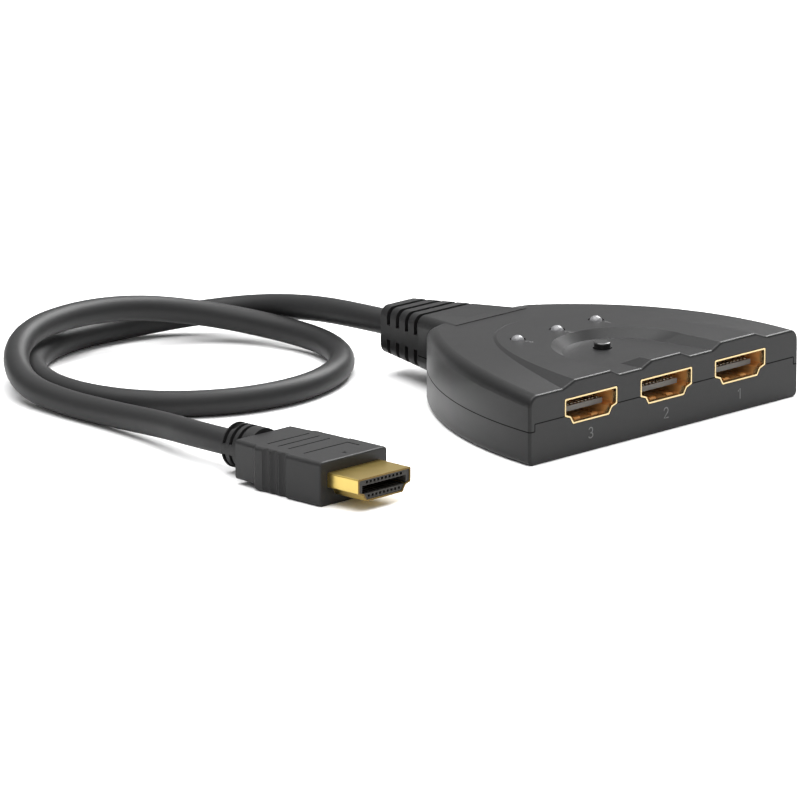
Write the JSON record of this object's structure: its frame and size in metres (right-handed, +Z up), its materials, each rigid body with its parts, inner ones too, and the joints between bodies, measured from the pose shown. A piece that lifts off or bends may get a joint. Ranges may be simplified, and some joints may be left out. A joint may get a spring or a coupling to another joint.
{
  "type": "video switch box",
  "caption": "Moulded switch box with front input sockets, a select button, indicator lamps and a captive output lead with its plug.",
  "frame": {"origin": "on the surface the box stands on, under the middle of the box and its strain relief", "axes": "+X along the front edge, from the third to the first socket; +Y from the sockets to the lead; +Z up"},
  "size_m": [0.1247, 0.1313, 0.016],
  "materials": {
    "housing": "fine satin moulded dark grey",
    "relief": "soft moulded dark grey",
    "screw": "zinc plated",
    "board": "green solder mask",
    "gold": "gold plated sheet",
    "insulator": "dark grey moulded",
    "contact": "gold plated strip",
    "lens": "milky light grey epoxy",
    "lead_metal": "tinned",
    "button": "polished black",
    "switch_body": "black moulded",
    "switch_plate": "stamped sheet",
    "plunger": "black moulded",
    "chip_body": "black moulded",
    "can": "drawn can",
    "ceramic": "tan ceramic",
    "cable_jacket": "satin dark grey jacket",
    "wire_jacket": "coloured insulation",
    "ferrule": "crimped sheet",
    "plug_grip": "satin moulded dark grey"
  },
  "bodies": {
    "housing": {"bottom_shell": "housing", "capacitors": "ceramic", "case_screws": "screw", "chip_leads": "lead_metal", "circuit_board": "board", "crystal": "can", "indicator_lamp_1": "lens", "indicator_lamp_2": "lens", "indicator_lamp_3": "lens", "lamp_leads": "lead_metal", "lead": "cable_jacket", "lead_clamp": "ferrule", "lead_tail": "cable_jacket", "lead_wires": "wire_jacket", "plug_contacts": "contact", "plug_grip": "plug_grip", "plug_insulator": "insulator", "plug_shell": "gold", "port_contacts_1": "contact", "port_contacts_2": "contact", "port_contacts_3": "contact", "port_insulator_1": "insulator", "port_insulator_2": "insulator", "port_insulator_3": "insulator", "port_shell_1": "gold", "port_shell_2": "gold", "port_shell_3": "gold", "regulator": "chip_body", "regulator_leads": "lead_metal", "resistors": "chip_body", "strain_relief": "relief", "switch_base": "switch_body", "switch_chip": "chip_body", "switch_cover": "switch_plate", "switch_dome": "switch_plate", "switch_terminals": "lead_metal", "top_shell": "housing"},
    "button": {"select_button": "button", "switch_plunger": "plunger"}
  },
  "joints": [
    {"name": "select_press", "type": "slide", "parent": "housing", "child": "button", "axis": [0, 0, -1], "range_m": [0, 0.0003], "stiffness_N_per_m": 4000, "springref_m": -0.0001, "deforming": ["switch_dome"]}
  ]
}
